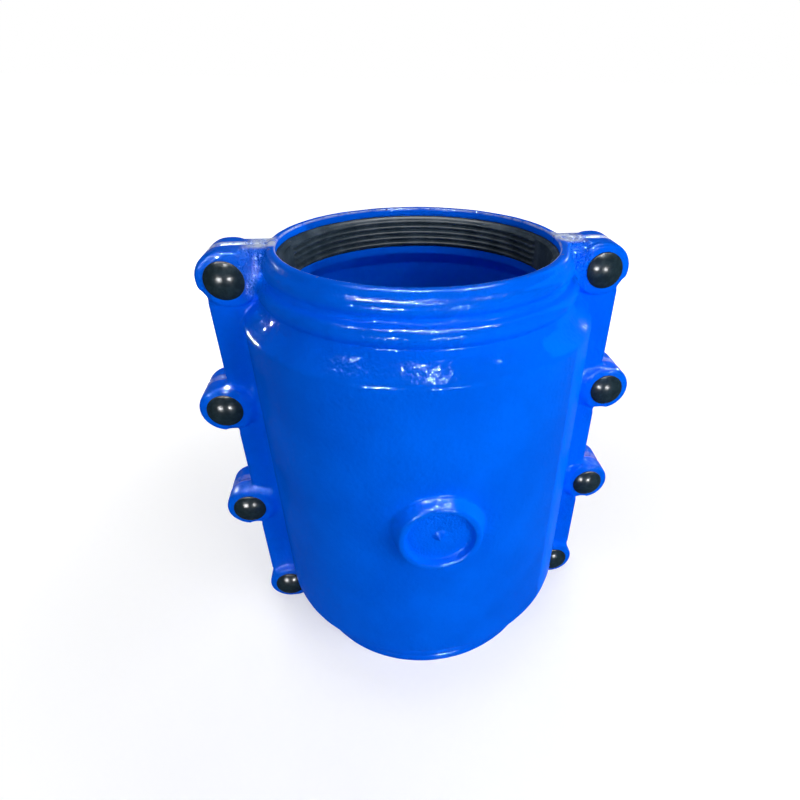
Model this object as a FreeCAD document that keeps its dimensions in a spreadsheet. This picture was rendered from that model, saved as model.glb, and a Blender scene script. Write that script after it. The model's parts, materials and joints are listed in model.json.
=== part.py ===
import FreeCAD, Part
import math
import os
import Sketcher

# Bell joint repair clamp for a ductile iron pipe of 222 mm outside diameter.
# Two half shells meet at the XZ plane. The pipe runs along Z and the clamp stands on its lower
# end, with the origin at the centre of that end. The front half lies on the -Y side.

doc = FreeCAD.newDocument("BellJointClamp")
sheet = doc.addObject("Spreadsheet::Sheet", "Sizes")

driving_sizes = [
    # shell
    ("overall_height", 412.0),
    ("parting_gap", 2.0),
    ("mouth_radius", 118.0),
    ("rim_radius", 125.2),
    ("barrel_radius", 152.0),
    ("barrel_wall", 8.5),
    ("chamber_depth", 46.4),
    ("shoulder_depth", 58.0),
    ("shoulder_round", 6.0),
    ("rim_round", 1.6),
    ("rim_flare", 1.8),
    ("first_bead_depth", 6.0),
    ("first_bead_radius", 6.8),
    ("first_bead_end", 18.0),
    ("valley_radius", 128.6),
    ("second_bead_depth", 23.2),
    ("second_bead_radius", 7.9),
    ("second_bead_end", 37.8),
    ("step_radius", 137.4),
    ("step_depth", 42.2),
    ("step_inset", 3.6),
    ("step_lead", 0.9),
    # flanges and ears
    ("flange_reach", 178.0),
    ("flange_thick", 16.0),
    ("flange_root", 6.0),
    ("flange_round", 3.5),
    ("web_bite", 3.0),
    ("ear_thick", 22.0),
    ("ear_radius", 23.0),
    ("ear_stretch", 3.5),
    ("ear_bevel", 2.5),
    ("ear_bevel_slope", 42.0),
    ("ear_root", 4.0),
    ("parting_bevel", 2.5),
    ("end_bolt_reach", 159.0),
    ("mid_bolt_reach", 183.0),
    ("end_bolt_depth", 24.0),
    ("bolt_spacing", 121.0),
    ("bolt_hole_side", 16.8),
    # tapping boss
    ("boss_height", 220.0),
    ("boss_top_radius", 33.5),
    ("boss_stand", 11.0),
    ("boss_root", 6.4),
    ("boss_slope", 18.0),
    ("boss_dish_radius", 28.6),
    ("boss_dish_depth", 7.0),
    ("drill_mark_radius", 4.2),
    ("drill_mark_stand", 2.2),
    ("drill_mark_slope", 60.0),
    # seals
    ("seal_depth", 8.0),
    ("seal_width", 30.0),
    ("seal_outer_radius", 121.3),
    ("seal_seat_play", 0.2),
    ("seal_tip_radius", 111.1),
    ("seal_root_radius", 114.6),
    ("seal_end_radius", 113.2),
    ("seal_lip_radius", 116.0),
    ("seal_lip", 3.0),
    ("rib_count", 5),
    ("rib_pitch", 5.4),
    ("rib_land", 1.8),
    ("rib_foot", 4.6),
    ("rib_bite", 1.0),
    ("rib_half_turn", 75.0),
    ("strip_width", 12.0),
    ("strip_play", 0.5),
    ("strip_groove", 5.0),
    ("strip_end_reach", 137.0),
    ("strip_mid_reach", 153.0),
    ("strip_bend_depth", 47.0),
    # bolts, washers and nuts
    ("head_radius", 16.0),
    ("head_height", 8.6),
    ("head_edge", 1.2),
    ("square_neck", 16.0),
    ("square_length", 9.0),
    ("shank_radius", 7.95),
    ("shank_length", 88.0),
    ("thread_lead", 1.2),
    ("nut_across", 24.0),
    ("nut_height", 14.8),
    ("nut_bore_radius", 8.0),
    ("nut_face_inset", 0.4),
    ("nut_chamfer", 30.0),
    ("washer_radius", 15.0),
    ("washer_bore_radius", 8.75),
    ("washer_thick", 3.0),
]
for row, (alias, value) in enumerate(driving_sizes, start=1):
    sheet.set(f"A{row}", alias.replace("_", " "))
    sheet.set(f"B{row}", str(value))
    sheet.setAlias(f"B{row}", alias)
doc.recompute()

aliases = {alias for alias, value in driving_sizes}


def sized(text):
    """The expression with the sheet's name put before each of its aliases."""
    words = []
    word = ""
    for letter in text + " ":
        if letter.isalnum() or letter == "_":
            word += letter
            continue
        if word in aliases:
            word = "Sizes." + word
        words.append(word + letter)
        word = ""
    return "".join(words).strip()


def value_of(text):
    """The number that an expression on the sheet gives."""
    return float(sheet.evalExpression(sized(text)))


# Sketch helpers

def new_sketch(body, name, plane, offset=None):
    """A sketch on one of the body's own origin planes, moved along its normal by offset."""
    sketch = body.newObject("Sketcher::SketchObject", name)
    origin_plane = [item for item in body.Origin.OriginFeatures if item.Role == plane][0]
    sketch.AttachmentSupport = [(origin_plane, "")]
    sketch.MapMode = "FlatFace"
    if offset:
        sketch.setExpression("AttachmentOffset.Base.z", sized(offset))
    return sketch


def fix_point(sketch, geometry, point, across, up):
    """Hold one sketch point at the two distances from the sketch's origin."""
    for kind, text in (("DistanceX", across), ("DistanceY", up)):
        number = sketch.addConstraint(Sketcher.Constraint(kind, -1, 1, geometry, point, value_of(text)))
        sketch.setExpression(f"Constraints[{number}]", sized(text))


def add_circle(sketch, across, up, radius):
    """A circle with its centre and radius held by expressions."""
    centre = FreeCAD.Vector(value_of(across), value_of(up), 0)
    circle = Part.Circle(centre, FreeCAD.Vector(0, 0, 1), value_of(radius))
    geometry = sketch.addGeometry(circle, False)
    fix_point(sketch, geometry, 3, across, up)
    number = sketch.addConstraint(Sketcher.Constraint("Radius", geometry, value_of(radius)))
    sketch.setExpression(f"Constraints[{number}]", sized(radius))


def arc_between(start, end, radius, side):
    """The shorter arc from start to end. Side +1 puts its centre to the left of the way along."""
    chord = end - start
    middle = (start + end) * 0.5
    rise = math.sqrt(max(radius ** 2 - (chord.Length / 2) ** 2, 0.0))
    left = FreeCAD.Vector(-chord.y, chord.x, 0).normalize()
    centre = middle + left * rise * side
    first, last = (start, end) if side > 0 else (end, start)
    turn = [math.atan2(point.y - centre.y, point.x - centre.x) for point in (first, last)]
    if turn[1] < turn[0]:
        turn[1] += 2 * math.pi
    circle = Part.Circle(centre, FreeCAD.Vector(0, 0, 1), radius)
    return Part.ArcOfCircle(circle, turn[0], turn[1])


def add_outline(sketch, corners, arcs=None):
    """A closed outline. arcs maps the number of a corner to the radius and side of the arc after it."""
    arcs = arcs or {}
    points = [FreeCAD.Vector(value_of(across), value_of(up), 0) for across, up in corners]
    edges = []
    for index, start in enumerate(points):
        end = points[(index + 1) % len(points)]
        if index in arcs:
            radius, side = arcs[index]
            geometry = sketch.addGeometry(arc_between(start, end, value_of(radius), side), False)
            edges.append((geometry, 1, 2) if side > 0 else (geometry, 2, 1))
        else:
            geometry = sketch.addGeometry(Part.LineSegment(start, end), False)
            edges.append((geometry, 1, 2))
    for index, (geometry, first, last) in enumerate(edges):
        following, following_first, following_last = edges[(index + 1) % len(edges)]
        sketch.addConstraint(Sketcher.Constraint("Coincident", geometry, last, following, following_first))
        fix_point(sketch, geometry, first, *corners[index])
        if index in arcs:
            radius = arcs[index][0]
            number = sketch.addConstraint(Sketcher.Constraint("Radius", geometry, value_of(radius)))
            sketch.setExpression(f"Constraints[{number}]", sized(radius))


# Feature helpers

# How far a cutting outline runs past the material that it cuts.
beyond = 10

# The taper of a bevel that is as wide as it is deep, in degrees.
even_taper = "-45"


def volume(body):
    doc.recompute()
    return body.Shape.Volume


def pad(body, name, sketch, length, slope=None, reversed_way=False):
    """A pad that has to add material."""
    before = volume(body) if body.Tip and body.Tip != sketch else 0.0
    feature = body.newObject("PartDesign::Pad", name)
    feature.Profile = sketch
    feature.Reversed = reversed_way
    feature.setExpression("Length", sized(length))
    if slope:
        feature.setExpression("TaperAngle", sized(slope))
    sketch.Visibility = False
    if volume(body) <= before:
        raise RuntimeError(f"{body.Label}: {name} adds nothing")
    return feature


def pocket(body, name, sketch, length, reversed_way=False):
    """A pocket that has to take material away."""
    before = volume(body)
    feature = body.newObject("PartDesign::Pocket", name)
    feature.Profile = sketch
    feature.Reversed = reversed_way
    feature.setExpression("Length", sized(length))
    sketch.Visibility = False
    if volume(body) >= before:
        raise RuntimeError(f"{body.Label}: {name} cuts nothing")
    return feature


def revolve(body, name, sketch, turn="360", midplane=False):
    """The sketch turned about its vertical axis, by degrees."""
    feature = body.newObject("PartDesign::Revolution", name)
    feature.Profile = sketch
    feature.ReferenceAxis = (sketch, ["V_Axis"])
    feature.Midplane = midplane
    feature.setExpression("Angle", sized(turn))
    sketch.Visibility = False
    doc.recompute()
    return feature


# Half shell

# The shoulder's cone meets the barrel in a round: its tangent points lie this far from the corner.
cone_drop = "(shoulder_depth - step_depth - 2 * step_lead)"
cone_slope = f"atan({cone_drop} / (barrel_radius - step_radius))"
round_cut = f"(shoulder_round * tan((90 deg - {cone_slope}) / 2))"

# Each row is a radius and the depth below the nearer end, from the rim down to the barrel.
outer_rows = [
    ("rim_radius - rim_round", "0"),
    ("rim_radius", "rim_round"),
    ("rim_radius + rim_flare", "first_bead_depth"),
    ("valley_radius", "first_bead_end"),
    ("valley_radius", "second_bead_depth"),
    ("step_radius - step_inset", "second_bead_end"),
    ("step_radius - step_lead", "step_depth"),
    ("step_radius", "step_depth + 2 * step_lead"),
    (f"barrel_radius - {round_cut} * cos({cone_slope})", f"shoulder_depth - {round_cut} * sin({cone_slope})"),
    ("barrel_radius", f"shoulder_depth + {round_cut}"),
]
outer_arcs = {2: ("first_bead_radius", 1), 4: ("second_bead_radius", 1), 8: ("shoulder_round", 1)}
inner_rows = [
    ("mouth_radius", "0"),
    ("mouth_radius", "seal_depth"),
    ("seal_outer_radius + seal_seat_play", "seal_depth"),
    ("seal_outer_radius + seal_seat_play", "seal_depth + seal_width + 2 * seal_seat_play"),
    ("mouth_radius", "seal_depth + seal_width + 2 * seal_seat_play"),
    ("mouth_radius", "chamber_depth"),
    ("barrel_radius - barrel_wall", "shoulder_depth + shoulder_round"),
]


def shell_section(sketch):
    """The wall's section on the -Y side, the same at both ends."""
    def placed(rows, top):
        return [(f"-({radius})", f"overall_height - ({depth})" if top else depth) for radius, depth in rows]

    corners = placed(outer_rows, True)
    arcs = dict(outer_arcs)
    lower = placed(outer_rows, False)[::-1]
    last = len(outer_rows) - 1
    for index, arc in outer_arcs.items():
        arcs[len(corners) + last - index - 1] = arc
    corners += lower
    corners += placed(inner_rows, False)
    corners += placed(inner_rows, True)[::-1]
    add_outline(sketch, corners, arcs)


# Each bolt level: its height and how far its bolts stand from the pipe's axis.
bolt_levels = [
    ("overall_height - end_bolt_depth", "end_bolt_reach"),
    ("overall_height / 2 + bolt_spacing / 2", "mid_bolt_reach"),
    ("overall_height / 2 - bolt_spacing / 2", "mid_bolt_reach"),
    ("end_bolt_depth", "end_bolt_reach"),
]
sides = (("left", -1), ("right", 1))


def neck_web(sketch, side, top):
    """The flange's plate beside a neck, from the neck's wall out to the barrel's flange."""
    neck = "(seal_outer_radius + seal_seat_play + web_bite)"
    barrel = "(barrel_radius - barrel_wall / 2)"
    rows = [
        (neck, "end_bolt_depth - ear_radius"),
        ("end_bolt_reach", "end_bolt_depth - ear_radius"),
        ("end_bolt_reach", "shoulder_depth + web_bite"),
        (barrel, "shoulder_depth + web_bite"),
        (neck, "step_depth"),
    ]
    add_outline(sketch, [(f"{side} * ({reach})", f"overall_height - ({depth})" if top else depth)
                         for reach, depth in rows])


def ear_outline(sketch, side, height, reach):
    """A tab with a round end about the bolt and a like end about a point nearer the barrel."""
    outer = f"({reach})"
    inner = f"({reach} - ear_stretch)"
    across_up = [
        (outer, "ear_radius"), (inner, "ear_radius"), (f"{inner} - ear_radius", "0"),
        (inner, "-ear_radius"), (outer, "-ear_radius"), (f"{outer} + ear_radius", "0"),
    ]
    corners = [(f"{side} * ({across})", f"{height} + ({up})") for across, up in across_up]
    add_outline(sketch, corners, {number: ("ear_radius", side) for number in (1, 2, 4, 5)})


def ear_corner(sketch, side, height, away):
    """The round that fills the corner between a middle ear and the flange's edge, above or below it."""
    def at(across, along):
        return f"{side} * (flange_reach + {across})", f"{height} + {away} * (ear_radius + {along})"

    corners = [at("0", "ear_root"), at("ear_root", "0"), at("ear_root", "-web_bite"),
               at("-web_bite", "-web_bite"), at("-web_bite", "ear_root")]
    add_outline(sketch, corners, {0: ("ear_root", -side * away)})


def strip_outline(sketch, side, play):
    """The side seal's path on the flange face, from the upper ring seal out and down to the lower."""
    half = f"(strip_width / 2 + {play})"
    first = "seal_outer_radius"
    middle = "(seal_depth + seal_width / 2)"
    outside = [
        (first, f"{middle} - {half}"),
        (f"strip_end_reach + {half}", f"{middle} - {half}"),
        (f"strip_end_reach + {half}", "strip_bend_depth"),
        (f"strip_mid_reach + {half}", "strip_bend_depth + strip_mid_reach - strip_end_reach"),
    ]
    inside = [
        (first, f"{middle} + {half}"),
        (f"strip_end_reach - {half}", f"{middle} + {half}"),
        (f"strip_end_reach - {half}", "strip_bend_depth"),
        (f"strip_mid_reach - {half}", "strip_bend_depth + strip_mid_reach - strip_end_reach"),
    ]
    corners = [(f"{side} * ({reach})", f"overall_height - ({depth})") for reach, depth in outside]
    corners += [(f"{side} * ({reach})", depth) for reach, depth in outside[::-1]]
    corners += [(f"{side} * ({reach})", depth) for reach, depth in inside]
    corners += [(f"{side} * ({reach})", f"overall_height - ({depth})") for reach, depth in inside[::-1]]
    add_outline(sketch, corners)


def build_shell(name, turn):
    body = doc.addObject("PartDesign::Body", name)
    body.Label = name
    parting = "parting_gap / 2"

    wall = new_sketch(body, "WallSection", "YZ_Plane")
    shell_section(wall)
    revolve(body, "Wall", wall, "180", midplane=True)

    # The flange plates stand out on both sides, from end bolt to end bolt, their outer edge rounded in
    # front and bevelled at the parting.
    plates = new_sketch(body, "FlangeSection", "XY_Plane", "end_bolt_depth")
    face = "(parting_gap / 2 + flange_thick)"
    bevelled = f"({parting} + parting_bevel)"
    for side in (-1, 1):
        corners = [
            (f"{side} * (barrel_radius - barrel_wall / 2)", "0"),
            (f"{side} * (flange_reach - {bevelled})", "0"),
            (f"{side} * flange_reach", f"-{bevelled}"),
            (f"{side} * flange_reach", f"-({face} - flange_round)"),
            (f"{side} * (flange_reach - flange_round)", f"-{face}"),
            (f"{side} * (barrel_radius - barrel_wall / 2)", f"-{face}"),
        ]
        add_outline(plates, corners, {3: ("flange_round", -side)})
    pad(body, "FlangePlates", plates, "overall_height - 2 * end_bolt_depth")

    # The roots fill the corner between each flange's outer face and the barrel.
    roots = new_sketch(body, "FlangeRootSection", "XY_Plane", "shoulder_depth + shoulder_round")
    centre_y = f"({face} + flange_root)"
    centre_x = f"sqrt((barrel_radius + flange_root) ^ 2 - {centre_y} ^ 2)"
    touch = "(barrel_radius / (barrel_radius + flange_root))"
    for side in (-1, 1):
        corners = [
            (f"{side} * {centre_x}", f"-{face}"),
            (f"{side} * {centre_x} * {touch}", f"-{centre_y} * {touch}"),
            (f"{side} * ({centre_x} * {touch} - web_bite)", f"-{centre_y} * {touch}"),
            (f"{side} * ({centre_x} * {touch} - web_bite)", f"web_bite - {face}"),
            (f"{side} * {centre_x}", f"web_bite - {face}"),
        ]
        add_outline(roots, corners, {0: ("flange_root", side)})
    pad(body, "FlangeRoots", roots, "overall_height - 2 * (shoulder_depth + shoulder_round)")

    webs = new_sketch(body, "NeckWebOutline", "XZ_Plane")
    for side in (-1, 1):
        for top in (True, False):
            neck_web(webs, side, top)
    pad(body, "NeckWebs", webs, face)

    middle_corners = new_sketch(body, "EarCorners", "XZ_Plane", bevelled)
    for height, reach in bolt_levels[1:3]:
        for side in (-1, 1):
            for away in (-1, 1):
                ear_corner(middle_corners, side, height, away)
    pad(body, "EarCornerRounds", middle_corners, f"{face} - flange_round - {bevelled}")

    # Each ear is a straight tab with its edge bevelled at the face in front and at the parting behind.
    front = f"({parting} + ear_thick - ear_bevel)"
    for level, (height, reach) in enumerate(bolt_levels, start=1):
        for layer, start, length, slope, backward in (
                ("Ears", bevelled, f"{front} - {bevelled}", None, False),
                ("EarFaces", front, "ear_bevel", "-ear_bevel_slope", False),
                ("EarBacks", bevelled, "parting_bevel", even_taper, True)):
            ears = new_sketch(body, f"{layer}Outline{level}", "XZ_Plane", start)
            for side in (-1, 1):
                ear_outline(ears, side, height, reach)
            pad(body, f"{layer}{level}", ears, length, slope, backward)

    # The same bevel runs on along the ends of the neck webs, from the rim to the end ears.
    web_start = "(rim_radius + rim_flare + parting_bevel / 2)"
    web_end = "end_bolt_depth - ear_radius"
    for side_name, start in (("Left", "-end_bolt_reach"), ("Right", web_start)):
        strips = new_sketch(body, f"WebBevel{side_name}", "YZ_Plane", start)
        for top in (True, False):
            rows = [(f"-({bevelled} + {web_end})", "0"), ("0", "0"), ("0", f"{web_end} + {bevelled}")]
            add_outline(strips, [(back, f"overall_height - ({depth})" if top else depth)
                                 for back, depth in rows])
        pocket(body, f"WebBevels{side_name}", strips, f"end_bolt_reach - {web_start}", reversed_way=True)

    # A round boss for a tapping stands on the barrel, its face dished with a drill mark in the middle.
    boss = new_sketch(body, "BossOutline", "XZ_Plane", "barrel_radius - boss_root")
    base_radius = "boss_top_radius + (boss_stand + boss_root) * tan(boss_slope)"
    add_circle(boss, "0", "boss_height", base_radius)
    pad(body, "Boss", boss, "boss_stand + boss_root", "-boss_slope")
    dish = new_sketch(body, "BossDish", "XZ_Plane", "barrel_radius + boss_stand")
    add_circle(dish, "0", "boss_height", "boss_dish_radius")
    pocket(body, "Dish", dish, "boss_dish_depth")
    mark = new_sketch(body, "DrillMarkOutline", "XZ_Plane", "barrel_radius + boss_stand - boss_dish_depth")
    add_circle(mark, "0", "boss_height", "drill_mark_radius")
    pad(body, "DrillMark", mark, "drill_mark_stand", "-drill_mark_slope")

    # The parting faces stand back from the middle plane by half the gap.
    trim = new_sketch(body, "PartingTrim", "XZ_Plane")
    reach = f"(mid_bolt_reach + ear_radius + {beyond})"
    add_outline(trim, [(f"-{reach}", f"-{beyond}"), (reach, f"-{beyond}"),
                       (reach, f"overall_height + {beyond}"), (f"-{reach}", f"overall_height + {beyond}")])
    pocket(body, "PartingFaces", trim, parting, reversed_way=True)

    grooves = new_sketch(body, "StripGrooves", "XZ_Plane")
    for side in (-1, 1):
        strip_outline(grooves, side, "strip_play")
    pocket(body, "SealGrooves", grooves, f"{parting} + strip_groove", reversed_way=True)

    holes = new_sketch(body, "BoltHoles", "XZ_Plane")
    half = "bolt_hole_side / 2"
    for height, reach in bolt_levels:
        for side in (-1, 1):
            add_outline(holes, [(f"{side} * {reach} + {across} * {half}", f"{height} + {up} * {half}")
                                for across, up in ((-1, -1), (1, -1), (1, 1), (-1, 1))])
    pocket(body, "SquareHoles", holes, f"{parting} + ear_thick + {beyond}", reversed_way=True)

    body.Placement = FreeCAD.Placement(FreeCAD.Vector(0, 0, 0),
                                       FreeCAD.Rotation(FreeCAD.Vector(0, 0, 1), turn))
    return body


# Ring seals

def build_ring_seal(name, turn, top):
    """Half a ring: ribs over the middle of its turn and a plain block at each end."""
    body = doc.addObject("PartDesign::Body", name)
    body.Label = name

    def at(depth):
        return f"overall_height - ({depth})" if top else depth

    ring = new_sketch(body, "RingSection", "YZ_Plane")
    start = "(seal_depth + seal_seat_play)"
    end = "(seal_depth + seal_seat_play + seal_width)"
    add_outline(ring, [
        ("-seal_outer_radius", at(start)),
        ("-seal_lip_radius", at(start)),
        ("-seal_root_radius", at(f"{start} + seal_lip")),
        ("-seal_root_radius", at(f"{end} - seal_lip")),
        ("-seal_lip_radius", at(end)),
        ("-seal_outer_radius", at(end)),
    ])
    revolve(body, "Ring", ring, "180", midplane=True)

    ribs = new_sketch(body, "RibSection", "YZ_Plane")
    rib_count = int(value_of("rib_count"))
    for rib in range(rib_count):
        middle = f"({start} + seal_width / 2 + ({rib} - (rib_count - 1) / 2) * rib_pitch)"
        add_outline(ribs, [
            ("-(seal_root_radius + rib_bite)", at(f"{middle} - rib_foot / 2")),
            ("-seal_root_radius", at(f"{middle} - rib_foot / 2")),
            ("-seal_tip_radius", at(f"{middle} - rib_land / 2")),
            ("-seal_tip_radius", at(f"{middle} + rib_land / 2")),
            ("-seal_root_radius", at(f"{middle} + rib_foot / 2")),
            ("-(seal_root_radius + rib_bite)", at(f"{middle} + rib_foot / 2")),
        ])
    revolve(body, "Ribs", ribs, "2 * rib_half_turn", midplane=True)

    # The plain blocks fill the last stretch before the parting plane on both sides.
    blocks = new_sketch(body, "EndBlocks", "XY_Plane", at(f"{end} - seal_lip" if top else f"{start} + seal_lip"))
    for side in (-1, 1):
        away = "(90 - rib_half_turn)"
        inner = "seal_end_radius"
        outer = "(seal_root_radius + rib_bite)"
        corners = [
            (f"{side} * {inner}", "0"),
            (f"{side} * {outer}", "0"),
            (f"{side} * {outer} * cos({away})", f"-{outer} * sin({away})"),
            (f"{side} * {inner} * cos({away})", f"-{inner} * sin({away})"),
        ]
        add_outline(blocks, corners, {1: (outer, -side), 3: (inner, side)})
    pad(body, "Blocks", blocks, "seal_width - 2 * seal_lip")

    body.Placement = FreeCAD.Placement(FreeCAD.Vector(0, 0, 0),
                                       FreeCAD.Rotation(FreeCAD.Vector(0, 0, 1), turn))
    return body


# Side seals

def build_side_seal(name, side):
    """A flat strip seated in the groove of both flange faces."""
    body = doc.addObject("PartDesign::Body", name)
    body.Label = name
    path = new_sketch(body, "StripOutline", "XZ_Plane", "-(parting_gap / 2 + strip_groove)")
    strip_outline(path, side, "0")
    pad(body, "Strip", path, "parting_gap + 2 * strip_groove")
    return body


# Bolts, washers and nuts

def build_bolt(name, place):
    """Round head with its bearing face at zero and dome upward, square neck and shank below."""
    body = doc.addObject("PartDesign::Body", name)
    body.Label = name
    turned = new_sketch(body, "TurnedSection", "XZ_Plane")
    dome = "((head_radius ^ 2 + (head_height - head_edge) ^ 2) / (2 * (head_height - head_edge)))"
    tip = "shank_radius - thread_lead"
    add_outline(turned, [
        ("0", "-shank_length"),
        (tip, "-shank_length"),
        ("shank_radius", "-shank_length + thread_lead"),
        ("shank_radius", "0"),
        ("head_radius", "0"),
        ("head_radius", "head_edge"),
        ("0", "head_height"),
    ], {5: (dome, 1)})
    revolve(body, "Turned", turned)
    neck = new_sketch(body, "SquareNeck", "XY_Plane")
    half = "square_neck / 2"
    add_outline(neck, [(f"-{half}", f"-{half}"), (half, f"-{half}"), (half, half), (f"-{half}", half)])
    pad(body, "Neck", neck, "square_length", reversed_way=True)
    body.Placement = place
    return body


def build_washer(name, place):
    outer = doc.addObject("Part::Cylinder", name + "_disc")
    outer.setExpression("Radius", sized("washer_radius"))
    outer.setExpression("Height", sized("washer_thick"))
    bore = doc.addObject("Part::Cylinder", name + "_bore")
    bore.setExpression("Radius", sized("washer_bore_radius"))
    bore.setExpression("Height", sized("washer_thick"))
    washer = doc.addObject("Part::Cut", name)
    washer.Base = outer
    washer.Tool = bore
    washer.Label = name
    washer.Placement = place
    return washer


def build_nut(name, place):
    """Hexagon nut with both ends chamfered at its corners."""
    body = doc.addObject("PartDesign::Body", name)
    body.Label = name
    hexagon = new_sketch(body, "Hexagon", "XY_Plane")
    corner = "(nut_across / 2 / cos(30))"
    add_outline(hexagon, [(f"{corner} * cos({turn})", f"{corner} * sin({turn})")
                          for turn in range(30, 390, 60)])
    add_circle(hexagon, "0", "0", "nut_bore_radius")
    pad(body, "Block", hexagon, "nut_height")
    shaved = new_sketch(body, "CornerSection", "XZ_Plane")
    flat = "(nut_across / 2 - nut_face_inset)"
    outside = f"({corner} + {beyond})"
    drop = f"(({outside} - {flat}) * tan(nut_chamfer))"
    for top in (True, False):
        face = "nut_height" if top else "0"
        away = "1" if top else "-1"
        add_outline(shaved, [
            (flat, f"{face}"),
            (outside, f"{face} - {away} * {drop}"),
            (outside, f"{face} + {away} * {beyond}"),
            (flat, f"{face} + {away} * {beyond}"),
        ])
    groove = body.newObject("PartDesign::Groove", "Corners")
    groove.Profile = shaved
    groove.ReferenceAxis = (shaved, ["V_Axis"])
    groove.Angle = 360.0
    shaved.Visibility = False
    doc.recompute()
    body.Placement = place
    return body


# Assembly: every object is made where it sits in the closed clamp.

pieces = [build_shell("front_shell", 0), build_shell("rear_shell", 180)]
for top, end_name in ((True, "upper"), (False, "lower")):
    for turn, half_name in ((0, "front"), (180, "rear")):
        pieces.append(build_ring_seal(f"{end_name}_seal_{half_name}", turn, top))
for side_name, side in sides:
    pieces.append(build_side_seal(f"side_seal_{side_name}", side))

head_face = value_of("-(parting_gap / 2 + ear_thick)")
facing_front = FreeCAD.Rotation(FreeCAD.Vector(1, 0, 0), 90)
facing_rear = FreeCAD.Rotation(FreeCAD.Vector(1, 0, 0), -90)
for side_name, side in sides:
    for level, (height, reach) in enumerate(bolt_levels, start=1):
        across = side * value_of(reach)
        up = value_of(height)
        front = FreeCAD.Vector(across, head_face, up)
        rear = FreeCAD.Vector(across, -head_face, up)
        seated = rear + FreeCAD.Vector(0, value_of("washer_thick"), 0)
        pieces.append(build_bolt(f"bolt_{side_name}_{level}", FreeCAD.Placement(front, facing_front)))
        pieces.append(build_washer(f"washer_{side_name}_{level}", FreeCAD.Placement(rear, facing_rear)))
        pieces.append(build_nut(f"nut_{side_name}_{level}", FreeCAD.Placement(seated, facing_rear)))

doc.recompute()
for item in doc.Objects:
    if "Invalid" in item.State or "Error" in item.State:
        raise RuntimeError(f"{item.Label} is in state {item.State}")
for piece in pieces:
    if piece.Shape.isNull() or not piece.Shape.isValid() or len(piece.Shape.Solids) != 1:
        raise RuntimeError(f"{piece.Label} is not one valid solid")

os.makedirs("parts", exist_ok=True)
for piece in pieces:
    piece.Shape.exportStep(os.path.join("parts", piece.Label + ".step"))
    print(piece.Label, round(piece.Shape.Volume / 1000, 1), "cm3")
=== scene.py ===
import json
import math

import bmesh
import bpy
import numpy as np
from mathutils import Matrix, Vector, noise

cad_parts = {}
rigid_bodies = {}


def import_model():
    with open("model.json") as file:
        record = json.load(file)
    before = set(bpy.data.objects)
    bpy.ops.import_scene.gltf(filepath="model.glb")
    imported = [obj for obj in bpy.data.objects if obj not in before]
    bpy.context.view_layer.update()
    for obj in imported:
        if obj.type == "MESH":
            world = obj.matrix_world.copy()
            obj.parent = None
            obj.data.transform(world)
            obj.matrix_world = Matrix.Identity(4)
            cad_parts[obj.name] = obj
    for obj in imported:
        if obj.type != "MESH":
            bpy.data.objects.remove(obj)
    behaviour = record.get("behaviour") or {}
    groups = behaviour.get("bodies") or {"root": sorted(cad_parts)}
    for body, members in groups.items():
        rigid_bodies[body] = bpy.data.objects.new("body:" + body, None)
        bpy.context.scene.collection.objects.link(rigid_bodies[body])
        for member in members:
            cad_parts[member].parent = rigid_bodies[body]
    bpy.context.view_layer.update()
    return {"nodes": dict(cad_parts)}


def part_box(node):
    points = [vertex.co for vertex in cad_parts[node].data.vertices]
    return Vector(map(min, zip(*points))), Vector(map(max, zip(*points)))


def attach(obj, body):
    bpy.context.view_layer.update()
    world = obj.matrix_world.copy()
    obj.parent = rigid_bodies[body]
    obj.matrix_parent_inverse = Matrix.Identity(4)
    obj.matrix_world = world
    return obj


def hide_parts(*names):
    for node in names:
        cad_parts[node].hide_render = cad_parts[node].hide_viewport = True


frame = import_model()

# Half castings
# Each half is one sand casting in ductile iron: half a barrel with a beaded neck at each end, two
# bolting flanges with eight ears and a round tapping boss. It is shot blasted and sprayed with a thick
# gloss blue epoxy, so every edge is soft and the cast skin shows through as a fine ripple.

MM = 0.001
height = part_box("front_shell")[1].z / MM
bolt_places = {}
for side_name in ("left", "right"):
    for level in (1, 2, 3, 4):
        low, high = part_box(f"bolt_{side_name}_{level}")
        bolt_places[side_name, level] = Vector(((low.x + high.x) / 2, 0, (low.z + high.z) / 2)) / MM

mouth_radius = 118.0
rim_radius = 125.2
barrel_radius = 152.0
chamber_radius = 143.5
seat_radius = 121.5
parting = 1.0
flange_face = 17.0
flange_reach = 178.0
ear_radius = 23.0
ear_stretch = 3.5
ear_face = 23.0
ear_round = 2.8
boss_height = 220.0
boss_back = 145.0
boss_profile = ((39.2, 145.6), (34.3, 161.2), (33.2, 163), (29.0, 163), (28.2, 162.2), (27.4, 157.6),
                (25.6, 156.2), (5.2, 156.0))
boss_mark = 163.0
neck_end = 42.2
chamber_start = 64.0
flange_root = 147.7
root_radius = 6.0
past_parting = 8.0
web_root = 124.5
web_foot = 61.0
neck_cove_radius = 135.0
groove_half_width = 6.5
groove_floor = 6.0
hole_half_width = 8.4
voxel = 1.25
cove_rounds = 66
cove_strength = 0.6
most_triangles = 190000
skin_waves = ((0.22, 45), (0.10, 130))
square_corners = ((-1, -1), (1, -1), (1, 1), (-1, 1))


def arc_points(start, end, radius, steps=10):
    """Points of the arc from start to end that bulges away from the axis, in radius and depth."""
    start, end = Vector(start), Vector(end)
    chord = end - start
    inward = Vector((-chord.y, chord.x)).normalized()
    centre = (start + end) / 2 + inward * math.sqrt(radius ** 2 - (chord.length / 2) ** 2)
    first = math.atan2(start.y - centre.y, start.x - centre.x)
    last = math.atan2(end.y - centre.y, end.x - centre.x)
    return [(centre.x + radius * math.cos(first + (last - first) * step / steps),
             centre.y + radius * math.sin(first + (last - first) * step / steps))
            for step in range(steps + 1)]


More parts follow.
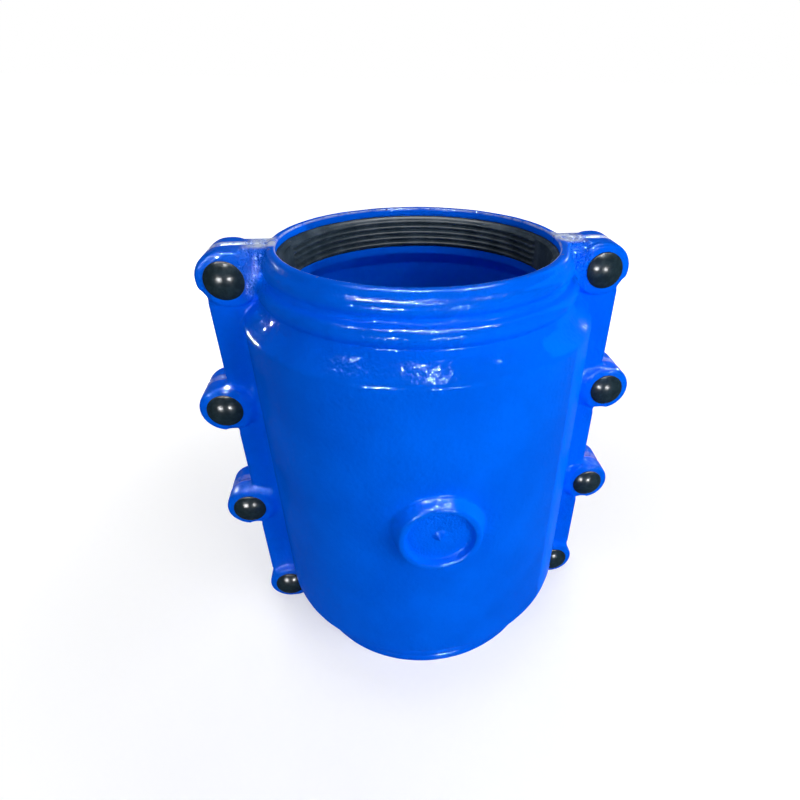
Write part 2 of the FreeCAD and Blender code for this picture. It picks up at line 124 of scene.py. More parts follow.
def casting_section():
    """The wall's outline in radius and height: down the outside and up the inside."""
    outside = [(123.6, 0), (rim_radius, 1.6)]
    outside += arc_points((127.0, 6.0), (128.6, 18.0), 6.8)
    outside += arc_points((128.6, 23.2), (133.8, 37.8), 7.9)
    outside += [(136.5, neck_end), (137.4, 44.0)]
    outside += arc_points((150.15, 56.23), (barrel_radius, 60.56), 6.0)
    inside = [(mouth_radius, 0), (mouth_radius, 8), (seat_radius, 8), (seat_radius, 38.4),
              (mouth_radius, 38.4), (mouth_radius, 46.4), (chamber_radius, chamber_start)]
    outline = [(radius, height - depth) for radius, depth in outside]
    outline += [(radius, depth) for radius, depth in reversed(outside)]
    outline += list(inside)
    outline += [(radius, height - depth) for radius, depth in reversed(inside)]
    return outline


def skin(mesh, rings, closed=False):
    """Joins rings of points, given in millimetres, into one solid with flat ends."""
    rows = [[mesh.verts.new(Vector(point) * MM) for point in ring] for ring in rings]
    count = len(rows[0])
    pairs = list(zip(rows, rows[1:] + rows[:1])) if closed else list(zip(rows, rows[1:]))
    faces = [mesh.faces.new((near[i], near[(i + 1) % count], far[(i + 1) % count], far[i]))
             for near, far in pairs for i in range(count)]
    if not closed:
        faces += [mesh.faces.new(rows[0]), mesh.faces.new(rows[-1])]
    bmesh.ops.recalc_face_normals(mesh, faces=faces)


def piece_from(name, mesh):
    """A new object in the scene from mesh code."""
    data = bpy.data.meshes.new(name)
    mesh.to_mesh(data)
    mesh.free()
    piece = bpy.data.objects.new(name, data)
    bpy.context.scene.collection.objects.link(piece)
    return piece


def prism(mesh, outline, start, end):
    """An outline in x and z carried along y from start to end."""
    skin(mesh, [[(x, y, z) for x, z in outline] for y in (start, end)])


def square_about(place, half_width):
    """The corners of a square about a bolt's place, in x and z."""
    return [(place.x + half_width * across, place.z + half_width * up) for across, up in square_corners]


def ear_outline(side, place, shrink=0.0):
    """The ear's long round tab, with its far end about the bolt."""
    radius = ear_radius - shrink
    outline = []
    for centre, first in ((abs(place.x), -90), (abs(place.x) - ear_stretch, 90)):
        for step in range(0, 181, 6):
            angle = math.radians(first + step)
            outline.append((side * (centre + radius * math.cos(angle)),
                            place.z + radius * math.sin(angle)))
    return outline


def strip_groove_outline(side, half_width):
    """The side seal's groove on the parting face, as a closed path round the bell chamber."""
    turns = [(121.3, 23.0), (137.0, 23.0), (137.0, 47.0), (153.0, 63.0)]
    outside, inside = [], []
    for index, (reach, depth) in enumerate(turns):
        outside.append((reach + (half_width if index else 0), depth - (half_width if index < 2 else 0)))
        inside.append((reach - (half_width if index else 0), depth + (half_width if index < 2 else 0)))
    path = [(reach, height - depth) for reach, depth in outside]
    path += outside[::-1] + inside
    path += [(reach, height - depth) for reach, depth in inside[::-1]]
    return [(side * reach, up) for reach, up in path]


def add_boss(mesh):
    """The tapping boss: a coned ring with a sunk face and a small raised mark in its middle."""
    rows = []
    for radius, stand in boss_profile:
        ring = [(radius * math.cos(turn), -stand, boss_height + radius * math.sin(turn))
                for turn in np.linspace(0, 2 * math.pi, 97)[:-1]]
        rows.append([mesh.verts.new(Vector(point) * MM) for point in ring])
    faces = []
    for near, far in zip(rows, rows[1:]):
        for i in range(len(near)):
            following = (i + 1) % len(near)
            faces.append(mesh.faces.new((near[i], near[following], far[following], far[i])))
    for row, stand in ((rows[0], boss_back), (rows[-1], boss_mark)):
        point = mesh.verts.new(Vector((0, -stand, boss_height)) * MM)
        for i in range(len(row)):
            faces.append(mesh.faces.new((row[i], row[(i + 1) % len(row)], point)))
    bmesh.ops.recalc_face_normals(mesh, faces=faces)


def apply_modifiers(piece):
    """Bakes a piece's modifiers into its mesh."""
    graph = bpy.context.evaluated_depsgraph_get()
    made = bpy.data.meshes.new_from_object(piece.evaluated_get(graph))
    piece.modifiers.clear()
    piece.data = made


def neighbours_of(data):
    """The two ends of every edge, as rows of point numbers."""
    edges = np.empty(len(data.edges) * 2, np.int32)
    data.edges.foreach_get("vertices", edges)
    return edges.reshape(-1, 2)


def read_points(data):
    """A mesh's points in metres, as an array with one row for each."""
    points = np.empty(len(data.vertices) * 3)
    data.vertices.foreach_get("co", points)
    return points.reshape(-1, 3)


def write_points(data, points):
    data.vertices.foreach_set("co", points.astype(np.float32).ravel())
    data.update()


def soften(points, edges, share, rounds):
    """Moves each point toward the middle of its neighbours, by its share, again and again."""
    count = len(points)
    near, far = edges[:, 0], edges[:, 1]
    many = np.bincount(near, minlength=count) + np.bincount(far, minlength=count)
    for _ in range(rounds):
        middle = np.empty_like(points)
        for axis in range(3):
            total = np.bincount(near, weights=points[far, axis], minlength=count)
            total += np.bincount(far, weights=points[near, axis], minlength=count)
            middle[:, axis] = total / many
        points = points + (middle - points) * share[:, None]
    return points


def fade(distance, near, far):
    """1 up to near and 0 past far, with a smooth run between."""
    t = np.clip((far - distance) / (far - near), 0, 1)
    return t * t * (3 - 2 * t)


def cove_share(points):
    """Where the foundry filled the corners: round the ears' roots and beside the ears."""
    x, y, z = (np.abs(points) / MM).T
    share = np.zeros(len(points))
    radius = np.hypot(x, y)
    for level in (1, 2, 3, 4):
        place = bolt_places["right", level]
        beside = fade(np.abs(z - place.z), 15, 22)
        if level in (1, 4):
            root = fade(np.abs(radius - neck_cove_radius), 4, 9) * fade(np.abs(y - 24), 9, 20)
            inward = 1 if level == 4 else -1
            off_ear = (z - place.z) * inward
            corner_x, corner_off = flange_reach, 14.0
        else:
            off_root = np.abs(radius - barrel_radius - root_radius)
            root = fade(off_root, 5, 12) * fade(np.abs(y - 20), 6, 14)
            off_ear = np.abs(z - place.z)
            corner_x, corner_off = flange_reach + 2, ear_radius + 1.5
        corner = 0.75 * fade(np.hypot(x - corner_x, off_ear - corner_off), 4, 7.5)
        share = np.maximum(share, np.maximum(beside * root, corner))
    return share


def ripple(points, normals, seed):
    """The points moved along their normals by the cast skin's long soft waves and finer ripple."""
    moved = points.copy()
    shift = Vector((seed, seed * 2.0, seed * 3.0))
    for index, (point, normal) in enumerate(zip(points, normals)):
        place = Vector(point)
        wave = sum(depth * noise.noise(place * scale + shift) for depth, scale in skin_waves)
        moved[index] = point + normal * wave * MM
    return moved


def cut(piece, cutter):
    """Takes the cutter's solid away from the piece, and the cutter with it."""
    modifier = piece.modifiers.new("cut", "BOOLEAN")
    modifier.operation = "DIFFERENCE"
    modifier.solver = "MANIFOLD"
    modifier.object = cutter
    apply_modifiers(piece)
    bpy.data.objects.remove(cutter)


def rounded_steps(face):
    """How a tab's outline shrinks along its depth: rounded at the parting and at its face."""
    steps = [(past_parting, ear_round), (-parting, ear_round)]
    for turn in np.radians((20, 40, 60, 80)):
        steps.append((-parting - ear_round * math.sin(turn), ear_round * (1 - math.sin(turn + 0.12))))
    steps += [(-parting - ear_round - 0.6, 0), (ear_round - face, 0)]
    for turn in np.radians((30, 60, 90)):
        steps.append((ear_round - face - ear_round * math.sin(turn), ear_round * (1 - math.cos(turn))))
    return steps


def flange_root_outline():
    """The hollow corner between the flange's face and the barrel, in x and y, with metal behind."""
    centre_y = flange_face + root_radius
    centre_x = math.sqrt((barrel_radius + root_radius) ** 2 - centre_y ** 2)
    last = math.pi - math.atan2(-centre_y, centre_x)
    hollow = [(centre_x + root_radius * math.cos(turn), -centre_y + root_radius * math.sin(turn))
              for turn in np.linspace(math.pi / 2, last, 7)]
    behind = centre_x - 9
    return hollow + [(behind, -centre_y * 0.9), (behind, 4 - flange_face), (centre_x, 4 - flange_face)]


def add_flange(mesh, side):
    """One side's bolting flange: its plate, a web to each neck and its root on the barrel."""
    end_place = bolt_places["right", 1]
    steps = rounded_steps(flange_face)
    plate = [(flange_root, past_parting)]
    plate += [(flange_reach - shrink, y) for y, shrink in steps]
    plate += [(flange_root, -flange_face)]
    skin(mesh, [[(side * x, y, z) for x, y in plate] for z in (height - end_place.z, end_place.z)])
    for top in (True, False):
        rings = []
        for y, shrink in steps:
            web = [(web_root, 1 + shrink), (abs(end_place.x), 1 + shrink),
                   (abs(end_place.x), web_foot), (flange_root, web_foot), (web_root, neck_end)]
            rings.append([(side * x, y, height - depth if top else depth) for x, depth in web])
        skin(mesh, rings)
    skin(mesh, [[(side * x, y, z) for x, y in flange_root_outline()]
                for z in (chamber_start, height - chamber_start)])


def casting_body(name):
    """The front half's metal before the parting face, the grooves and the bolt holes are cut."""
    mesh = bmesh.new()
    section = casting_section()
    skin(mesh, [[(radius * math.cos(turn), -radius * math.sin(turn), up) for radius, up in section]
                for turn in np.radians(np.linspace(-5, 185, 191))])
    for side in (-1, 1):
        add_flange(mesh, side)
    for (side_name, level), place in bolt_places.items():
        side = -1 if side_name == "left" else 1
        skin(mesh, [[(x, y, z) for x, z in ear_outline(side, place, shrink)]
                    for y, shrink in rounded_steps(ear_face)])
    add_boss(mesh)
    return piece_from(name, mesh)


def finish_piece(piece, material, node, body, sharp_angle):
    """Gives a piece its one material and smooth shading, and puts it in place of its node."""
    data = piece.data
    data.materials.clear()
    data.materials.append(material)
    data.polygons.foreach_set("material_index", np.zeros(len(data.polygons), np.int32))
    data.shade_smooth()
    data.set_sharp_from_angle(angle=math.radians(sharp_angle))
    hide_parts(node)
    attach(piece, body)


def machine(piece):
    """Cuts the metal back to the parting face, then cuts the strips' grooves and the bolt holes."""
    mesh = bmesh.new()
    reach, spare, past, through = 260, 20, 5, 40
    prism(mesh, [(-reach, -spare), (reach, -spare), (reach, height + spare), (-reach, height + spare)],
          -parting, 30)
    cut(piece, piece_from("parting_cutter", mesh))
    mesh = bmesh.new()
    for side in (-1, 1):
        prism(mesh, strip_groove_outline(side, groove_half_width), past, -groove_floor)
    for place in bolt_places.values():
        prism(mesh, square_about(place, hole_half_width), past, -through)
    cut(piece, piece_from("hole_cutter", mesh))


def fuse(piece):
    """Makes one skin of the overlapping solids and fills the corners, as a foundry's pattern does."""
    remesh = piece.modifiers.new("fuse", "REMESH")
    remesh.mode = "VOXEL"
    remesh.voxel_size = voxel * MM
    apply_modifiers(piece)
    data = piece.data
    points = read_points(data)
    edges = neighbours_of(data)
    points = soften(points, edges, np.full(len(points), 0.5), 1)
    points = soften(points, edges, cove_share(points) * cove_strength, cove_rounds)
    write_points(data, points)
    thin = piece.modifiers.new("thin", "DECIMATE")
    thin.ratio = min(1.0, most_triangles / (2 * len(data.polygons)))
    apply_modifiers(piece)


def roughen(piece, seed):
    """Gives the skin its ripple and keeps both ends flat."""
    data = piece.data
    points = read_points(data)
    normals = np.empty(len(points) * 3)
    data.vertices.foreach_get("normal", normals)
    points = ripple(points, normals.reshape(-1, 3), seed)
    points[:, 2] = np.clip(points[:, 2], 0, height * MM)
    write_points(data, points)


def make_casting(name, node, body, turned, seed, material):
    """One finished half. The rear one is the front one turned half round."""
    piece = casting_body(name)
    fuse(piece)
    roughen(piece, seed)
    machine(piece)
    if turned:
        piece.data.transform(Matrix.Rotation(math.pi, 4, "Z"))
    finish_piece(piece, material, node, body, sharp_angle=42)


def new_material(name):
    """A new material with its nodes, its shader and the place of each point in metres."""
    material = bpy.data.materials.new(name)
    material.use_nodes = True
    tree = material.node_tree
    shader = tree.nodes["Principled BSDF"]
    place = tree.nodes.new("ShaderNodeTexCoord").outputs["Object"]
    return material, tree, shader, place


def add_node(tree, kind, inputs=None, **settings):
    """A node with its settings, and each input either a number or another node's output."""
    node = tree.nodes.new(kind)
    for key, value in settings.items():
        setattr(node, key, value)
    for key, value in (inputs or {}).items():
        if isinstance(value, bpy.types.NodeSocket):
            tree.links.new(value, node.inputs[key])
        else:
            node.inputs[key].default_value = value
    return node


def grain(tree, place, scale, detail=2.0, roughness=0.5):
    """Soft noise whose spots are about one metre divided by scale across."""
    return add_node(tree, "ShaderNodeTexNoise", {"Vector": place, "Scale": scale, "Detail": detail,
                                                 "Roughness": roughness}).outputs["Fac"]


def ramp(tree, value, low, high, from_value=0.0, to_value=1.0):
    """The value carried from low..high to from_value..to_value, and held outside."""
    return add_node(tree, "ShaderNodeMapRange", {"Value": value, "From Min": low, "From Max": high,
                                                 "To Min": from_value, "To Max": to_value},
                    interpolation_type="SMOOTHSTEP").outputs["Result"]


def math_node(tree, operation, first, second):
    """What a Math node makes of two values. The operation is any of Blender's own."""
    return add_node(tree, "ShaderNodeMath", {0: first, 1: second}, operation=operation).outputs[0]


def blend_colour(tree, amount, first, second):
    """The first colour, or as much of the second as the amount says."""
    node = add_node(tree, "ShaderNodeMix", data_type="RGBA")
    for socket, value in ((node.inputs[0], amount), (node.inputs[6], first), (node.inputs[7], second)):
        if isinstance(value, bpy.types.NodeSocket):
            tree.links.new(value, socket)
        else:
            socket.default_value = value
    return node.outputs[2]


def bump(tree, heights):
    """Bumps laid one on another: each is a height output, its depth in metres and its strength."""
    normal = None
    for height_output, depth, strength in heights:
        inputs = {"Height": height_output, "Distance": depth, "Strength": strength}
        if normal is not None:
            inputs["Normal"] = normal
        normal = add_node(tree, "ShaderNodeBump", inputs).outputs["Normal"]
    return normal


def product(tree, first, *others):
    """All the values multiplied together."""
    for other in others:
        first = math_node(tree, "MULTIPLY", first, other)
    return first


def length_of(tree, first, second):
    """How far a point is from an axis, when it is first and second away from it."""
    squares = math_node(tree, "ADD", product(tree, first, first), product(tree, second, second))
    return math_node(tree, "SQRT", squares, 0.0)


def falling(tree, value, low, high):
    """1 up to low and 0 past high."""
    return ramp(tree, value, low, high, 1.0, 0.0)


def blue_epoxy():
    """The paint. It is rubbed pale along the parting and on the mouth's lip, with dirt on the rims,
    and the bare cast grain shows through in the ears' coves and in the boss's sunk face."""
    material, tree, shader, place = new_material("blue_epoxy")
    spread = add_node(tree, "ShaderNodeSeparateXYZ", {"Vector": place})
    x, y, z = (spread.outputs[axis] for axis in ("X", "Y", "Z"))
    across = math_node(tree, "ABSOLUTE", x, 0.0)
    off_parting = math_node(tree, "ABSOLUTE", y, 0.0)
    from_axis = length_of(tree, x, y)
    from_end = math_node(tree, "MINIMUM", z, math_node(tree, "SUBTRACT", height * MM, z))
    off_boss = length_of(tree, x, math_node(tree, "SUBTRACT", z, boss_height * MM))

    on_rim = falling(tree, from_end, 0.0006, 0.0026)
    on_lip = ramp(tree, from_axis, 0.1183, 0.1196, 0.55, 0.0)
    beside_mouth = product(tree, ramp(tree, across, 0.110, 0.122), falling(tree, across, 0.134, 0.146),
                           falling(tree, off_parting, 0.009, 0.018))
    on_ears = product(tree, ramp(tree, across, 0.122, 0.134),
                      falling(tree, off_parting, 0.0032, 0.0068),
                      ramp(tree, from_end, 0.014, 0.040, 1.0, 0.3))
    worn_zone = product(tree, on_rim, math_node(tree, "MAXIMUM", on_lip, beside_mouth))
    worn_zone = math_node(tree, "MAXIMUM", worn_zone, on_ears)
    worn = product(tree, worn_zone, ramp(tree, grain(tree, place, 90, 6.0, 0.65), 0.30, 0.54))
    dirt = product(tree, on_rim, falling(tree, from_axis, 0.1205, 0.1245),
                   ramp(tree, grain(tree, place, 160, 3.0), 0.62, 0.72))
    cloud = ramp(tree, grain(tree, place, 14, 3.0), 0.3, 0.7)
    colour = blend_colour(tree, cloud, (0.0, 0.108, 0.80, 1), (0.0, 0.128, 0.90, 1))
    colour = blend_colour(tree, worn, colour, (0.60, 0.66, 0.84, 1))
    colour = blend_colour(tree, dirt, colour, (0.16, 0.13, 0.12, 1))
    tree.links.new(colour, shader.inputs["Base Color"])

    roughness = ramp(tree, grain(tree, place, 60, 4.0), 0.3, 0.75, 0.035, 0.10)
    roughness = math_node(tree, "ADD", roughness, product(tree, worn, 0.25))
    tree.links.new(roughness, shader.inputs["Roughness"])

    in_dish = product(tree, falling(tree, off_boss, 0.0285, 0.0310),
                      ramp(tree, off_parting, 0.152, 0.154))
    in_cove = product(tree, ramp(tree, across, 0.118, 0.124), falling(tree, across, 0.142, 0.150),
                      falling(tree, from_end, 0.040, 0.052))
    rough_cast = math_node(tree, "MAXIMUM", product(tree, in_dish, 0.4), in_cove)
    peel = grain(tree, place, 250, 1.0)
    skin_ripple = grain(tree, place, 150, 2.0)
    sand = grain(tree, place, 460, 2.0)
    normal = bump(tree, [(skin_ripple, 0.0016, 0.25), (peel, 0.0010, 0.5),
                         (sand, 0.0030, ramp(tree, rough_cast, 0.0, 1.0, 0.015, 0.9))])
    tree.links.new(normal, shader.inputs["Normal"])

    turned_away = add_node(tree, "ShaderNodeLayerWeight", {"Blend": 0.5}).outputs["Facing"]
    mirror = ramp(tree, turned_away, 0.45, 0.80, 0.5, 0.05)
    mirror = math_node(tree, "MAXIMUM", mirror, product(tree, in_cove, 0.5))
    tree.links.new(mirror, shader.inputs["Specular IOR Level"])
    shader.inputs["IOR"].default_value = 1.025
    shader.inputs["Specular Tint"].default_value = (0.45, 0.72, 1.0, 1)
    return material


epoxy = blue_epoxy()
for name, node, body, turned, seed in (("front_casting", "front_shell", "front_half", False, 1.7),
                                       ("rear_casting", "rear_shell", "rear_half", True, 6.3)):
    make_casting(name, node, body, turned, seed, epoxy)

# Ring seals
# A half ring of black rubber sits in the seat of each neck. Its inside has five moulded ribs that grip
# the pipe, and they run out into a plain block at each end, where it meets the other half's seal.

seal_outer_radius = 121.3
seal_start = 8.2
seal_width = 30.0
rib_pitch = 5.4
rib_tip = 111.1
rib_root = 114.6
block_face = 113.2
heel_radius = 116.6
heel_corner = (115.9, 0.5)
first_root = 2.6
rib_profile = ((-2.35, 0), (-1.5, 0.55), (-1.05, 0.86), (-0.45, 1.0),
               (0.45, 1.0), (1.05, 0.86), (1.5, 0.55), (2.35, 0))
blocks_start = 73.6
blocks_end = 75.6


def seal_section(flat):
    """The seal's outline in radius and depth. flat is 0 across the ribs and 1 in the end blocks."""
    root = rib_root + (block_face - rib_root) * flat
    tip = rib_tip + (block_face - rib_tip) * flat
    corner_radius, corner_in = heel_corner
    outline = [(seal_outer_radius, seal_start), (heel_radius, seal_start),
               (corner_radius, seal_start + corner_in), (root, seal_start + first_root)]
    middle = seal_start + seal_width / 2
    for rib in (-2, -1, 0, 1, 2):
        centre = middle + rib * rib_pitch
        for across, rise in rib_profile:
            outline.append((root + (tip - root) * rise, centre + across))
    end = seal_start + seal_width
    outline += [(root, end - first_root), (corner_radius, end - corner_in), (heel_radius, end),
                (seal_outer_radius, end)]
    return outline


def make_ring_seal(name, node, body, front, top, material):
    rings = []
    for degrees in np.linspace(0, 180, 181):
        turn = math.radians(degrees)
        from_middle = abs(degrees - 90)
        flat = float(1 - fade(np.array(from_middle), blocks_start, blocks_end))
        side = -1 if front else 1
        rings.append([(radius * math.cos(turn), side * radius * math.sin(turn),
                       height - depth if top else depth) for radius, depth in seal_section(flat)])
    mesh = bmesh.new()
    skin(mesh, rings)
    finish_piece(piece_from(name, mesh), material, node, body, sharp_angle=50)


def black_rubber():
    material, tree, shader, place = new_material("black_rubber")
    bloom = ramp(tree, grain(tree, place, 55, 5.0, 0.6), 0.35, 0.75)
    colour = blend_colour(tree, bloom, (0.024, 0.040, 0.057, 1), (0.050, 0.075, 0.102, 1))
    dust = ramp(tree, grain(tree, place, 420, 3.0), 0.66, 0.74, 0.0, 0.5)
    colour = blend_colour(tree, dust, colour, (0.12, 0.13, 0.13, 1))
    tree.links.new(colour, shader.inputs["Base Color"])
    tree.links.new(ramp(tree, bloom, 0.0, 1.0, 0.36, 0.55), shader.inputs["Roughness"])
    tree.links.new(bump(tree, [(grain(tree, place, 500, 3.0), 0.0002, 0.4)]), shader.inputs["Normal"])
    shader.inputs["IOR"].default_value = 1.015
    return material


rubber = black_rubber()
for end_name, top in (("upper", True), ("lower", False)):
    for half_name, front in (("front", True), ("rear", False)):
        make_ring_seal(f"{end_name}_ring_{half_name}", f"{end_name}_seal_{half_name}",
                       f"{half_name}_half", front, top, rubber)

# Side seals
# A flat rubber strip lies in the grooves of the two parting faces and closes the joint between the
# halves from one ring seal to the other. Only its edge shows, deep in the gap.

for side_name in ("left", "right"):
    strip = frame["nodes"][f"side_seal_{side_name}"]
    strip.data.materials.clear()
    strip.data.materials.append(rubber)

# Bolts
# M16 round-headed bolts with a square neck that the ear's square hole keeps from turning. They are
# forged, coated semi-gloss black, and rolled with a thread of 2 mm pitch on their far end.

head_radius = 16.0
head_height = 8.6
head_rim = 1.6
shank_radius = 7.95
neck_half_width = 8
shank_end = 65.0
thread_start = 19.0
thread_pitch = 2.0
thread_depth = 1.15
thread_step = 0.25
flank_gain = 1.25
crest_share = 0.12
run_out_length = 3.0
end_chamfer = 1.2


def thread_radius(along, turn):
    """The thread's surface: a ridge with sloped flanks that goes once round for each pitch. It runs
    out into the shank, and the bolt's end is chamfered."""
    phase = (along / thread_pitch - turn / (2 * math.pi)) % 1.0
    ridge = abs(phase - 0.5) * 2
    radius = shank_radius - thread_depth * min(max(ridge * flank_gain - crest_share, 0.0), 1.0)
    run_out = min(max((along - thread_start) / run_out_length, 0.0), 1.0)
    radius = shank_radius + (radius - shank_radius) * run_out
    return min(radius, shank_radius - end_chamfer + (shank_end - along))


def make_bolt(name, node, place, material):
    mesh = bmesh.new()
    face = -ear_face
    rise = head_height - head_rim
    dome = (head_radius ** 2 + rise ** 2) / (2 * rise)
    profile = []
    for step in range(13):
        across = 0.02 + (head_radius - 0.42) * math.sin(math.pi / 2 * step / 12)
        stand = head_height - dome + math.sqrt(dome ** 2 - across ** 2)
        profile.append((across, face - stand))
    profile += [(head_radius - 0.12, face - 1.25), (head_radius, face - 0.8),
                (head_radius - 0.2, face - 0.02), (shank_radius, face - 0.02),
                (shank_radius, thread_start)]
    turns = np.linspace(0, 2 * math.pi, 49)[:-1]
    rings = [[(place.x + radius * math.cos(turn), along, place.z + radius * math.sin(turn))
              for turn in turns] for radius, along in profile]
    steps = int((shank_end - thread_start) / thread_step)
    for step in range(1, steps + 1):
        along = thread_start + (shank_end - thread_start) * step / steps
        rings.append([(place.x + thread_radius(along, turn) * math.cos(turn), along,
                       place.z + thread_radius(along, turn) * math.sin(turn)) for turn in turns])
    skin(mesh, rings)
    prism(mesh, square_about(place, neck_half_width), face, face + 9)
    finish_piece(piece_from(name, mesh), material, node, "front_half", sharp_angle=48)


def black_coating():
    material, tree, shader, place = new_material("black_coating")
    cloud = ramp(tree, grain(tree, place, 220, 5.0, 0.6), 0.35, 0.7)
    colour = blend_colour(tree, cloud, (0.010, 0.021, 0.028, 1), (0.016, 0.033, 0.043, 1))
    dust = ramp(tree, grain(tree, place, 900, 4.0, 0.7), 0.64, 0.72, 0.0, 0.35)
    colour = blend_colour(tree, dust, colour, (0.06, 0.075, 0.09, 1))
    tree.links.new(colour, shader.inputs["Base Color"])
    tree.links.new(ramp(tree, cloud, 0.0, 1.0, 0.20, 0.28), shader.inputs["Roughness"])
    normal = bump(tree, [(grain(tree, place, 260, 2.0), 0.0003, 0.2),
                         (grain(tree, place, 1400, 2.0), 0.0001, 0.3)])
    tree.links.new(normal, shader.inputs["Normal"])
    shader.inputs["IOR"].default_value = 1.018
    return material


coating = black_coating()
for (side_name, level), place in bolt_places.items():
    make_bolt(f"round_head_bolt_{side_name}_{level}", f"bolt_{side_name}_{level}", place, coating)

# Washers and nuts
# Each bolt carries a pressed flat washer and a hot forged hexagon nut on the rear ears. Both are zinc
# plated, dull and a little cloudy, with the nut's corners chamfered at both ends.

nut_across = 24.0
nut_start = 26.0
nut_height = 14.8
nut_bore = 8.0
bore_chamfer = 0.9
face_inset = 0.4
chamfer_slope = math.tan(math.radians(30))
washer_section = ((8.75, 0.35), (9.1, 0), (14.5, 0), (15, 0.5), (15, 2.6), (14.6, 3), (9.1, 3),
                  (8.75, 2.65))


def make_nut(name, node, place, material):
    mesh = bmesh.new()
    rings = []
    for degrees in range(0, 360, 3):
        turn = math.radians(degrees)
        from_flat = math.radians((degrees % 60) - 30)
        corner = nut_across / 2 / math.cos(from_flat)
        flat = nut_across / 2 - face_inset
        drop = (corner - flat) * chamfer_slope
        section = [(nut_bore, bore_chamfer), (nut_bore + bore_chamfer, 0), (flat, 0), (corner, drop)]
        section += [(radius, nut_height - along) for radius, along in reversed(section)]
        rings.append([(place.x + radius * math.cos(turn), nut_start + along,
                       place.z + radius * math.sin(turn)) for radius, along in section])
    skin(mesh, rings, closed=True)
    finish_piece(piece_from(name, mesh), material, node, node, sharp_angle=14)


def make_washer(name, node, place, material):
    mesh = bmesh.new()
    rings = [[(place.x + radius * math.cos(turn), ear_face + along, place.z + radius * math.sin(turn))
              for radius, along in washer_section] for turn in np.linspace(0, 2 * math.pi, 73)[:-1]]
    skin(mesh, rings, closed=True)
    finish_piece(piece_from(name, mesh), material, node, "rear_half", sharp_angle=30)


def dull_zinc():
    material, tree, shader, place = new_material("dull_zinc")
    cloud = ramp(tree, grain(tree, place, 260, 5.0, 0.65), 0.3, 0.7)
    colour = blend_colour(tree, cloud, (0.36, 0.37, 0.38, 1), (0.56, 0.57, 0.57, 1))
    tree.links.new(colour, shader.inputs["Base Color"])
    tree.links.new(ramp(tree, cloud, 0.0, 1.0, 0.48, 0.30), shader.inputs["Roughness"])
    tree.links.new(bump(tree, [(grain(tree, place, 900, 3.0), 0.0001, 0.5)]), shader.inputs["Normal"])
    shader.inputs["Metallic"].default_value = 1.0
    return material


zinc = dull_zinc()
for (side_name, level), place in bolt_places.items():
    make_washer(f"flat_washer_{side_name}_{level}", f"washer_{side_name}_{level}", place, zinc)
    make_nut(f"hexagon_nut_{side_name}_{level}", f"nut_{side_name}_{level}", place, zinc)

# Floor, light and camera
# A plain pale floor under a soft light from the upper right and weaker ones from the left and behind.
# Window-like lamps make the paint's glints: they shine on the painted and black pieces alone, as bare
# zinc would throw them back white. The camera stands where the photograph was taken from.


def rays_of(tree, *kinds):
    """1 for rays of the kinds named, and 0 for the rest, which carry the light."""
    rays = tree.nodes.new("ShaderNodeLightPath")
    first, *others = (rays.outputs[f"Is {kind} Ray"] for kind in kinds)
    for other in others:
        first = math_node(tree, "MAXIMUM", first, other)
    return first


def pale_floor():
    """Matt grey. The camera and mirrored rays also see it glow, the more so far from the middle."""
    material, tree, shader, place = new_material("pale_floor")
    from_middle = add_node(tree, "ShaderNodeVectorMath", {0: place}, operation="LENGTH")
    glow = ramp(tree, from_middle.outputs["Value"], 0.25, 1.1, 0.5, 1.0)
    glow = product(tree, glow, rays_of(tree, "Camera", "Glossy"))
    tree.links.new(glow, shader.inputs["Emission Strength"])
    shader.inputs["Emission Color"].default_value = (1, 1, 1, 1)
    shader.inputs["Base Color"].default_value = (0.62, 0.62, 0.62, 1)
    shader.inputs["Roughness"].default_value = 0.9
    shader.inputs["Specular IOR Level"].default_value = 0.0
    return material


mesh = bmesh.new()
bmesh.ops.create_grid(mesh, x_segments=1, y_segments=1, size=30)
floor = piece_from("floor", mesh)
floor.data.materials.append(pale_floor())

world = bpy.data.worlds.new("room")
bpy.context.scene.world = world
world.use_nodes = True
tree = world.node_tree
seen = rays_of(tree, "Camera", "Glossy", "Transmission")
room_light = 0.25
strength = add_node(tree, "ShaderNodeMapRange", {"Value": seen, "To Min": room_light, "To Max": 1.0})
room = tree.nodes["Background"]
room.inputs["Color"].default_value = (1, 1, 1, 1)
tree.links.new(strength.outputs["Result"], room.inputs["Strength"])

glossy_pieces = bpy.data.collections.new("glossy_pieces")
glossy_paints = {epoxy.name, coating.name, rubber.name}
for piece in bpy.data.objects:
    if piece.type == "MESH" and glossy_paints & set(piece.data.materials.keys()):
        glossy_pieces.objects.link(piece)


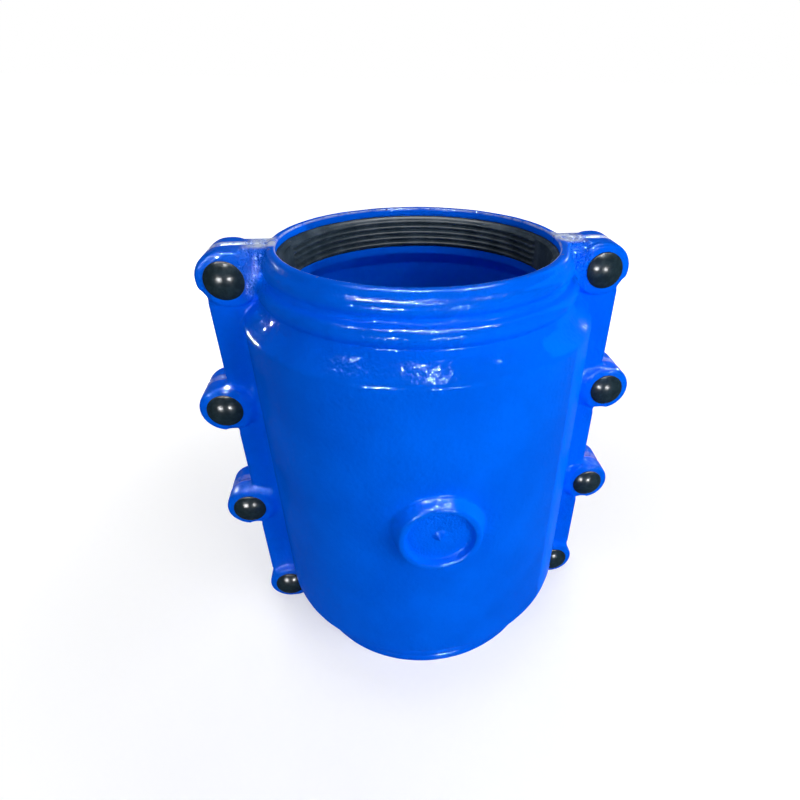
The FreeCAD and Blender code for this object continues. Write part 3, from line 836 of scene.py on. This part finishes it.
def add_lamp(name, azimuth, elevation, distance, width, depth, power):
    """A flat lamp aimed at the object's middle, with sizes in metres, power in watts and azimuth 0
    in front and 90 on the right."""
    turn, rise = math.radians(azimuth), math.radians(elevation)
    aim = Vector((0, 0, height * MM / 2))
    away = Vector((math.sin(turn) * math.cos(rise), -math.cos(turn) * math.cos(rise), math.sin(rise)))
    data = bpy.data.lights.new(name, "AREA")
    data.shape = "RECTANGLE"
    data.size = width
    data.size_y = depth
    data.energy = power
    lamp = bpy.data.objects.new(name, data)
    lamp.location = aim + away * distance
    lamp.rotation_mode = "QUATERNION"
    lamp.rotation_quaternion = (-away).to_track_quat("-Z", "Y")
    bpy.context.scene.collection.objects.link(lamp)
    return lamp


for name, azimuth, elevation, distance, width, depth, power, mirrored in (
        ("soft_key", 33, 24, 1.0, 0.45, 0.45, 5.9, False),
        ("soft_fill", -44, 20, 1.4, 0.60, 0.60, 2.8, True),
        ("overhead", 0, 80, 1.8, 1.4, 1.0, 1.5, True),
        ("fill_behind_left", -160, 22, 1.5, 0.70, 0.70, 6.0, False),
        ("fill_behind_right", 165, 22, 1.5, 0.70, 0.70, 5.0, False)):
    lamp = add_lamp(name, azimuth, elevation, distance, width, depth, power)
    lamp.visible_glossy = mirrored

glint_distance = 2.0
for name, azimuth, elevation, width, depth, power in (
        ("window_left", -27, 6, 0.42, 0.30, 14400),
        ("window_right", 14, 6, 0.30, 0.30, 10400),
        ("ceiling_strip", 2, 84, 2.5, 0.24, 42500),
        ("ceiling_lamp", 2, 63.5, 0.34, 0.20, 5200),
        ("window_behind", -127, 6, 0.24, 0.16, 1800),
        ("window_far", 132, 8, 0.10, 0.10, 240)):
    lamp = add_lamp(name, azimuth, elevation, glint_distance, width, depth, power)
    lamp.visible_diffuse = False
    lamp.light_linking.receiver_collection = glossy_pieces

photo_width = 800
focal_length = 530.5
eye = Vector((-0.0379, -0.4566, 0.5329))
target = Vector((0.0273, 0, 0.2300))
camera_data = bpy.data.cameras.new("camera")
camera = bpy.data.objects.new("camera", camera_data)
bpy.context.scene.collection.objects.link(camera)
bpy.context.scene.camera = camera
camera.location = eye
camera.rotation_mode = "QUATERNION"
tilt = Matrix.Rotation(math.radians(1.079), 4, "Z").to_quaternion()
camera.rotation_quaternion = (target - eye).to_track_quat("-Z", "Y") @ tilt
camera_data.sensor_width = 36
camera_data.lens = focal_length * camera_data.sensor_width / photo_width
camera_data.shift_x = -0.0602
camera_data.shift_y = 0.0206
camera_data.clip_start = 0.02

bpy.context.scene.view_settings.view_transform = "Standard"
